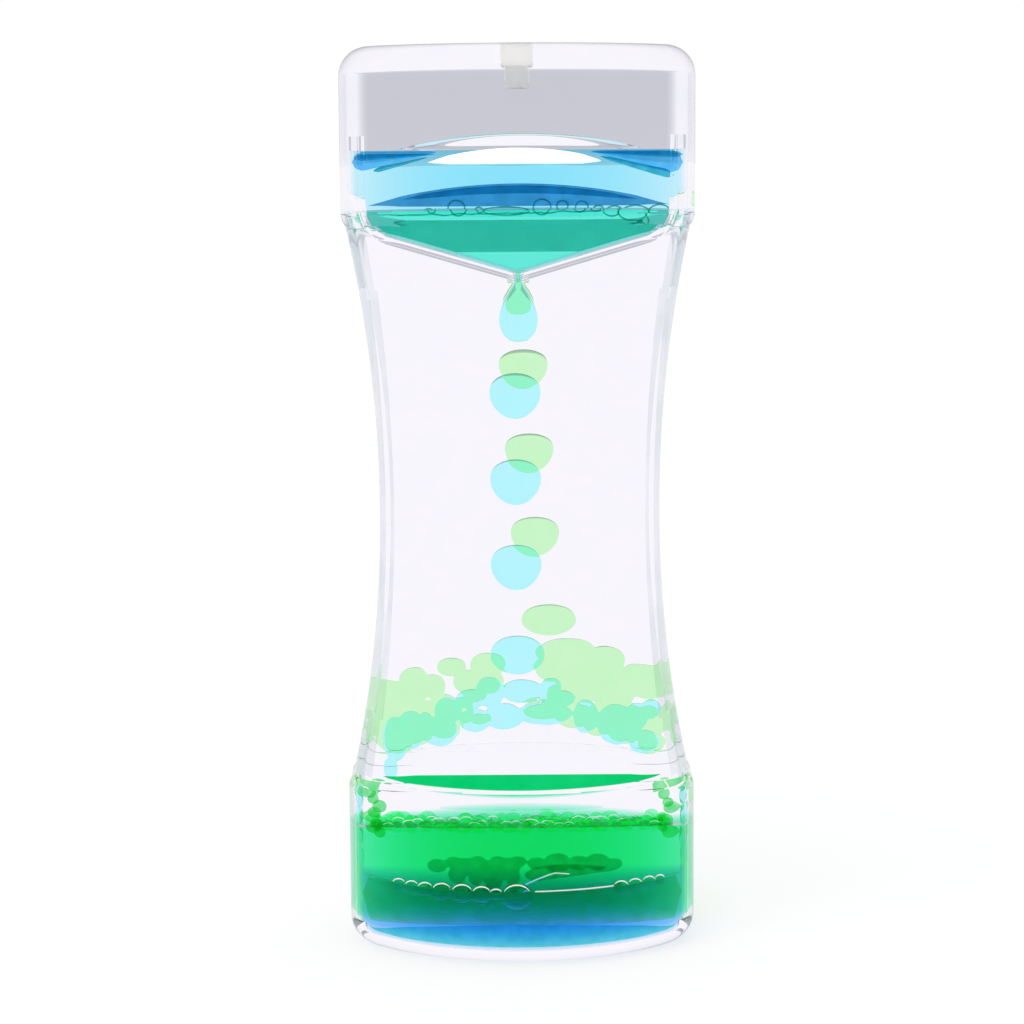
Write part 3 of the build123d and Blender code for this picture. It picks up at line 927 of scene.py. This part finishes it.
def pile(name, node, beads, look, around=22, up=13, rough=0.035):
    """Separate beads as one piece: across, depth, up, width, depth and height of each."""
    verts, faces = joined([blob(*bead, seed, around, up, rough) for seed, bead in enumerate(beads)])
    return make(name, node, verts, faces, look, 80)


# Merged heaps: grain of the skin, unevenness, and the room across and in depth
HEAP_GRAIN = 0.17
HEAP_ROUGH = 0.05
HEAP_HALF = 21.2
HEAP_Y = 5.0
DEEPEST_BEAD = 6.0


def heap(name, node, beads, look):
    """Beads that have run together into one skin."""
    ob = pile(name, node, beads, look, rough=HEAP_ROUGH)
    merge = ob.modifiers.new("merge", "REMESH")
    merge.mode = "VOXEL"
    merge.voxel_size = HEAP_GRAIN * MM
    merge.use_smooth_shade = True
    soft = ob.modifiers.new("soft", "SMOOTH")
    soft.factor = 0.5
    soft.iterations = 2
    whole = bpy.data.meshes.new_from_object(ob.evaluated_get(bpy.context.evaluated_depsgraph_get()))
    ob.modifiers.clear()
    ob.data = whole
    whole.materials.clear()
    whole.materials.append(look)
    for f in whole.polygons:
        f.use_smooth = True
        f.material_index = 0


# Beads on the lower trays as they lie in the photo: across, up, width and height
GREEN_BEADS = [
    (7.4, 45.0, 9.6, 4.4), (13.2, 43.6, 6.8, 4.6), (18.2, 41.2, 4.4, 3.6), (20.2, 40.2, 2.2, 2.6),
    (-11.0, 42.7, 4.7, 2.9), (-5.3, 43.0, 5.6, 3.8), (-17.0, 41.0, 4.2, 3.4), (-20.0, 38.6, 2.6, 4.0),
    (-14.0, 39.6, 4.0, 3.8), (-17.7, 37.9, 5.2, 4.4), (-20.5, 37.1, 2.9, 3.4), (-8.6, 40.4, 4.4, 3.6),
    (4.6, 42.2, 4.6, 3.4), (9.0, 41.2, 7.3, 4.6), (13.4, 40.6, 8.0, 5.0), (17.6, 39.8, 5.6, 4.2),
    (20.6, 39.2, 3.2, 3.8), (15.4, 38.2, 5.6, 3.8), (11.2, 38.8, 5.4, 3.6), (6.8, 38.2, 6.0, 3.4),
    (-19.6, 34.6, 4.6, 4.0), (-16.0, 35.2, 5.0, 4.4), (-12.4, 36.0, 5.2, 4.6), (-7.4, 38.6, 4.0, 3.6),
    (-5.0, 40.4, 4.6, 4.0), (-20.6, 32.0, 3.6, 3.6), (-16.8, 32.8, 4.2, 2.4), (-12.6, 33.6, 4.4, 2.6),
    (3.6, 35.6, 6.8, 3.2), (8.6, 34.7, 6.4, 4.0), (13.4, 34.8, 5.4, 4.8), (17.2, 34.0, 5.0, 5.4),
    (20.6, 33.4, 3.8, 5.8), (21.2, 30.0, 2.8, 3.4), (16.2, 31.8, 5.0, 3.4), (-20.4, 30.4, 4.0, 3.6),
    (-16.6, 31.6, 4.6, 3.0), (-12.2, 32.6, 5.0, 3.2), (-9.6, 35.6, 4.0, 4.6), (12.4, 33.2, 5.0, 3.6),
    (-6.6, 34.3, 3.4, 2.0),
]
BLUE_BEADS = [
    (-20.6, 33.0, 3.5, 7.0), (-21.2, 28.3, 2.0, 3.4), (-17.2, 34.4, 4.2, 6.0), (-12.8, 34.2, 5.8, 4.6),
    (-15.0, 35.4, 2.6, 3.6), (-11.4, 37.4, 4.3, 4.2), (-7.9, 39.3, 4.5, 3.0), (-4.9, 40.4, 4.6, 4.6),
    (0.2, 40.5, 6.4, 3.6), (4.7, 41.2, 3.3, 2.6), (5.8, 39.3, 5.6, 2.5), (-7.2, 35.9, 4.8, 3.6),
    (-2.7, 36.5, 6.2, 4.0), (3.6, 36.9, 8.6, 3.4), (10.1, 36.4, 4.0, 5.2), (14.9, 35.1, 6.1, 6.4),
    (18.0, 36.4, 3.3, 4.2), (20.5, 37.5, 2.5, 3.0), (20.2, 32.3, 4.4, 3.6),
]


def placed(beads, sign):
    """Beads between divider and wall, kept clear of the side walls."""
    out = []
    for x, z, w, h in beads:
        deep = min(w * 0.9 + 1.0, DEEPEST_BEAD)
        x = math.copysign(min(abs(x), HEAP_HALF - w / 2), x)
        out.append((x, sign * HEAP_Y, z, w, deep, h))
    return out


heap("blue_tray_beads", "blue_bead_pile", placed(BLUE_BEADS, -1), blue_bead)
heap("green_tray_beads", "green_bead_pile", placed(GREEN_BEADS, 1), green_bead)

# Drops in the side channels
CHANNEL_X = 24.7
CHANNEL_WIDE = 1.25
UPPER_SIDE_DROP = (24.6, 5.5, 116.6, 1.3, 3.0, 3.4)


def channel(sign, low, high, step):
    """Drops one above the other in the channels at both sides."""
    out = []
    for side in (-1, 1):
        z = high
        while z > low:
            y = sign * rng.uniform(2.6, 6.0)
            deep = rng.uniform(2.6, 4.5)
            out.append((side * CHANNEL_X, y, z, CHANNEL_WIDE, deep, step * rng.uniform(0.8, 1.1)))
            z -= step
    return out


pile("blue_channel_beads", "blue_channel_drops", channel(-1, 12.5, 23.5, 3.2), blue_bead)
pile("green_channel_beads", "green_channel_drops", channel(1, 20.5, 24.5, 2.6) + [UPPER_SIDE_DROP],
     green_bead)

# Froth on the lower green level: a row along the divider and others behind it
FROTH_HALF = 22
FROTH_SIZE = 2.2
FROTH_ROWS = 4
FROTH_DEEPEST = 9.0
froth = []
for row in range(FROTH_ROWS):
    x = -FROTH_HALF + rng.uniform(0, FROTH_SIZE)
    while x < FROTH_HALF:
        w = FROTH_SIZE * rng.uniform(0.75, 1.2)
        wall = front_at(abs(x) + w / 2, GREEN_LOW, WALL + FILM, True)
        y = rng.uniform(BACK + w, min(wall - w, FROTH_DEEPEST)) if row else BACK + w / 2
        froth.append((x, y, GREEN_LOW + w * rng.uniform(-0.1, 0.1), w, w, w * 0.85))
        x += w * rng.uniform(0.85, 1.05)
pile("green_pool_froth", "green_froth", froth, green_froth, 16, 9)

# Scallops of the lower blue level against the front wall: across and width
SCALLOPS = [
    (-19.0, 2.2), (-17.0, 2.2), (-14.9, 2.4), (-12.3, 3.0), (-9.2, 3.3), (-6.2, 2.9),
    (-4.0, 1.9), (-0.8, 4.4), (15.2, 2.4), (17.4, 2.3), (19.6, 2.2), (21.3, 1.7),
]
RIM_THICK = 0.24
beads = []
rims = []
for x, w in SCALLOPS:
    y = w * 0.42 - front_at(abs(x) + w / 3, BLUE_LOW, WALL + FILM, True)
    beads.append((x, y, BLUE_LOW - w * 0.22, w * 1.02, w * 0.8, w * 0.95))
    rims.append((x, y - w * 0.3, BLUE_LOW - w * 0.1, w * 0.46, w * 0.34, RIM_THICK))
pile("blue_level_scallops", "blue_froth", beads, scallop)

# Fine arcs, rims and lines
ARC_START = 18
LINE_TURNS = 8


def arcs(name, node, items, look, sweep=144, steps=18):
    """Fine arcs or whole rims: across, depth, up, half width, half height, thickness."""
    parts = []
    whole = sweep == 360
    for x, y, z, half, tall, thick in items:
        rows = []
        for i in range(steps if whole else steps + 1):
            a = math.radians(ARC_START + sweep * i / steps)
            r = thick / 2
            if not whole:
                r *= math.sin(math.pi * (i + 0.4) / (steps + 0.8)) ** 0.6
            points = []
            for j in range(LINE_TURNS):
                b = math.tau * j / LINE_TURNS
                off = r * math.cos(b)
                px = x + (half + off) * math.cos(a)
                pz = z + (tall + off) * math.sin(a)
                points.append((px, y + r * math.sin(b), pz))
            rows.append(points)
        parts.append(loft(rows + rows[:1], True) if whole else capped(rows))
    verts, faces = joined(parts)
    make(name, node, verts, faces, look, 80)


def thread(name, node, look, points, thick):
    """A fine round line through points."""
    r = thick / 2
    turns = [math.tau * j / LINE_TURNS for j in range(LINE_TURNS)]
    rows = [[(x, y + r * math.cos(a), z + r * math.sin(a)) for a in turns] for x, y, z in points]
    verts, faces = capped(rows)
    make(name, node, verts, faces, look, 80)


# Bubbles along the upper green level: across, up, width and height
LEVEL_BUBBLES = [
    (-8.8, 115.4, 2.4, 2.4), (-1.7, 114.9, 6.8, 1.3), (3.5, 115.5, 2.5, 2.4), (6.4, 115.7, 1.6, 1.5),
    (9.2, 115.5, 1.8, 1.7), (13.9, 114.8, 2.3, 1.6), (17.0, 114.5, 4.2, 2.3), (20.6, 114.5, 3.4, 2.5),
    (-12.8, 115.0, 1.1, 0.7), (-5.6, 115.1, 1.0, 0.9), (11.6, 115.2, 1.4, 0.9),
]
bubbles = [(x, 2.6, z, w / 2, h / 2, RIM_THICK) for x, z, w, h in LEVEL_BUBBLES]
arcs("green_level_bubbles", TRAY_UP, bubbles, ring, sweep=360, steps=32)

WAVE_STEPS = 66
wave = []
for i in range(WAVE_STEPS + 1):
    z = 114.35 + 0.28 * noise.noise(Vector((i * 0.23, 0, 3))) + 0.5 * (i / WAVE_STEPS) ** 2
    wave.append((-20.5 + 0.5 * i, 2.9, z))
thread("green_level_line", TRAY_UP, ring, wave, 0.22)

# Painted highlight arcs over the scallops
arcs("blue_level_arcs", "blue_froth", rims, painted_highlight)

# Painted highlight arcs on the green froth
crests = []
for i in range(26):
    x = -19.5 + 39 * i / 25 + rng.uniform(-0.5, 0.5)
    w = rng.uniform(1.5, 2.6)
    crests.append((x, 1.6 + rng.uniform(0, 2.2), GREEN_LOW + rng.uniform(-0.1, 1.0), w / 2, w * 0.32, 0.17))
arcs("green_level_arcs", "green_froth", crests, painted_highlight)

# Drops beside the trays' ends, on the way to the green pool
side_drops = []
for side in (-1, 1):
    for i in range(9):
        w = rng.uniform(1.3, 2.5)
        side_drops.append((side * rng.uniform(20.6, 22.4), rng.uniform(2.5, 6.5), 15.6 + i, w, w, w * 0.9))
pile("green_side_drops", "green_froth", side_drops, side_green, 18, 11)

# Drops that have sunk to the lower blue level and wait beside the divider: across, up, width
WAITING = [
    (-12.6, 12.5, 2.6), (-10.2, 13.0, 2.2), (-8.6, 12.4, 3.2), (-6.6, 13.1, 2.3), (-5.2, 12.0, 3.4),
    (-3.6, 13.2, 2.0), (-2.2, 12.3, 3.6), (-0.6, 13.1, 2.2), (-9.6, 11.2, 2.4), (-6.8, 10.9, 2.0),
    (-4.2, 10.8, 2.6), (-1.4, 10.9, 2.0), (2.2, 12.8, 2.4), (5.2, 12.9, 3.6), (8.4, 12.8, 2.8),
    (11.2, 12.9, 3.3), (13.8, 12.6, 2.1),
]
waiting = [(x, -3.6, z, w * 1.15, w * 0.9, w * 0.8) for x, z, w in WAITING]
heap("blue_waiting_drops", "blue_froth", waiting, dark_green)

# The blue level's edge on the front wall as a painted highlight line, and a wedge of sunken liquid with a
# painted highlight along its edge
edge = []
for i in range(21):
    x = 2.0 + 0.6 * i
    edge.append((x, 0.3 - front_at(x, BLUE_LOW, WALL + FILM, True), BLUE_LOW + 0.1))
thread("blue_level_edge", "blue_froth", painted_highlight, edge, 0.2)
veil("blue_sunk_wedge", "blue_froth", dark_green, (0.4, 14.2), hump(12.0, 0.9, 7, 7),
     straight(0.4, 10.4, 14.2, 11.7), at_depth(4.6), 0.7)
PEAK = 13
ridge = []
for i in range(20):
    z = 10.35 + 0.1 * i if i < PEAK else 11.65 - 0.03 * (i - PEAK)
    ridge.append((0.4 + 0.35 * i, -5.3, z))
thread("blue_sunk_edge", "blue_froth", painted_highlight, ridge, 0.16)

# Filler plugs: radius, and depth below the top of the plug
PLUG_Y = 9.0
PLUG_SHAPE = [
    (AXIS_RADIUS, 0.25), (1.1, 0.25), (1.3, 0), (2.2, 0), (2.35, 0.15), (2.35, 3.2), (2.2, 3.35), (1.75, 3.4),
    (1.72, 6.0), (1.6, 6.3), (0.9, 6.35), (0.8, 5.9), (AXIS_RADIUS, 5.8),
]
plug_profile = [(r, HEIGHT - 0.02 - deep) for r, deep in PLUG_SHAPE]
PLUGS = [("plug_front", "front_filler_plug", -PLUG_Y), ("plug_rear", "rear_filler_plug", PLUG_Y)]
for name, node, y in PLUGS:
    verts, faces = loft(lathe(plug_profile, y, PLUG_STEPS), True)
    make(name, node, verts, faces, plug_look, 35)

# Camera, fitted to the outline in the photo
PICTURE = 1024
SENSOR = 36
FOCAL_PIXELS = 2691.5
SHIFT_PIXELS = (-7.7, 2.1)
CAMERA_PLACE = (0, -0.4187, 0.1244)
CAMERA_DOWN = 0.1348
CAMERA_ROLL = -0.0066
cam_data = bpy.data.cameras.new("camera")
cam = bpy.data.objects.new("camera", cam_data)
bpy.context.scene.collection.objects.link(cam)
cam_data.sensor_width = SENSOR
cam_data.lens = FOCAL_PIXELS / PICTURE * SENSOR
cam_data.shift_x = SHIFT_PIXELS[0] / PICTURE
cam_data.shift_y = SHIFT_PIXELS[1] / PICTURE
cam.matrix_world = (
    Matrix.Translation(CAMERA_PLACE)
    @ Matrix.Rotation(math.pi / 2 - CAMERA_DOWN, 4, "X")
    @ Matrix.Rotation(CAMERA_ROLL, 4, "Z")
)
bpy.context.scene.camera = cam

# Floor: nearly white to the camera, paper-coloured through the case
PAPER = (0.956, 0.93, 0.985)
FLOOR_GLOW = 0.68
bpy.ops.mesh.primitive_plane_add(size=40)
floor = bpy.context.object
floor.name = "floor"
mat, n, l = new_material("floor_look")
out = add(n, "OutputMaterial")
diff = add(n, "BsdfDiffuse", Color=(1, 1, 1, 1))
emit = add(n, "Emission", Color=(*PAPER, 1))
white = add(n, "Emission")
path = add(n, "LightPath")
seen = add(n, "MixShader")
seen.inputs[0].default_value = FLOOR_GLOW
through = add(n, "MixShader")
pick = add(n, "MixShader")
l.new(diff.outputs[0], seen.inputs[1])
l.new(white.outputs[0], seen.inputs[2])
l.new(path.outputs["Is Transmission Ray"], through.inputs[0])
l.new(diff.outputs[0], through.inputs[1])
l.new(emit.outputs[0], through.inputs[2])
l.new(path.outputs["Is Camera Ray"], pick.inputs[0])
l.new(through.outputs[0], pick.inputs[1])
l.new(seen.outputs[0], pick.inputs[2])
l.new(pick.outputs[0], out.inputs["Surface"])
floor.data.materials.append(mat)

# World: white to the camera, soft to matt surfaces, and a dim room to clear ones
world = bpy.data.worlds.new("studio")
bpy.context.scene.world = world
world.use_nodes = True
n = world.node_tree.nodes
l = world.node_tree.links
n.clear()
out = add(n, "OutputWorld")
coord = add(n, "TexCoord")
sep = add(n, "SeparateXYZ")
shift = add(n, "MapRange", From_Min=-1, From_Max=1)
l.new(coord.outputs["Generated"], sep.inputs[0])
l.new(sep.outputs["Z"], shift.inputs["Value"])


def sky(stops):
    """A colour by height above the horizon; places go from -1, straight down, to 1."""
    ramp = add(n, "ValToRGB")
    els = ramp.color_ramp.elements
    for i, (z, c) in enumerate(stops):
        place = (z + 1) / 2
        e = els[i] if i < len(els) else els.new(place)
        e.position = place
        e.color = (*c, 1)
    l.new(shift.outputs[0], ramp.inputs[0])
    return ramp.outputs[0]


BELOW = [(-1, PAPER), (-0.012, PAPER)]
ABOVE = [
    (0.15, (0.5, 0.5, 0.56)), (0.3, (0.25, 0.26, 0.3)), (0.6, (0.35, 0.35, 0.4)),
    (0.8, CLEAR), (1, CLEAR),
]
behind = sky(BELOW + [(-0.004, (0.597, 0.597, 0.665))] + ABOVE)
beside = sky(BELOW + [(0.06, (0.83, 0.84, 0.93))] + ABOVE)
across = add(n, "Math")
across.operation = "ABSOLUTE"
l.new(sep.outputs["X"], across.inputs[0])
turned = add(n, "MapRange", From_Min=0.21, From_Max=0.27)
l.new(across.outputs[0], turned.inputs["Value"])
around = add(n, "Mix")
around.data_type = "RGBA"
l.new(turned.outputs[0], around.inputs[0])
l.new(behind, around.inputs[6])
l.new(beside, around.inputs[7])
room = add(n, "Background")
l.new(around.outputs[2], room.inputs[0])
soft = add(n, "Background", Color=(1, 1, 1, 1), Strength=0.6)
back = add(n, "Background", Color=(1, 1, 1, 1))
path = add(n, "LightPath")
by_light = add(n, "MixShader")
by_camera = add(n, "MixShader")
l.new(path.outputs["Is Diffuse Ray"], by_light.inputs[0])
l.new(room.outputs[0], by_light.inputs[1])
l.new(soft.outputs[0], by_light.inputs[2])
l.new(path.outputs["Is Camera Ray"], by_camera.inputs[0])
l.new(by_light.outputs[0], by_camera.inputs[1])
l.new(back.outputs[0], by_camera.inputs[2])
l.new(by_camera.outputs[0], out.inputs[0])

# Lamp
lamp = bpy.data.lights.new("key", "SUN")
lamp.energy = 1.8
lamp.angle = 0.9
key = bpy.data.objects.new("key", lamp)
bpy.context.scene.collection.objects.link(key)
key.rotation_euler = (math.radians(32), math.radians(-22), 0)
key.visible_transmission = False
key.visible_glossy = False

# Light passes many clear surfaces in a row
scene = bpy.context.scene
scene.view_settings.view_transform = "Standard"
scene.cycles.max_bounces = 40
scene.cycles.transmission_bounces = 40
scene.cycles.transparent_max_bounces = 40
scene.cycles.glossy_bounces = 12
scene.cycles.diffuse_bounces = 3
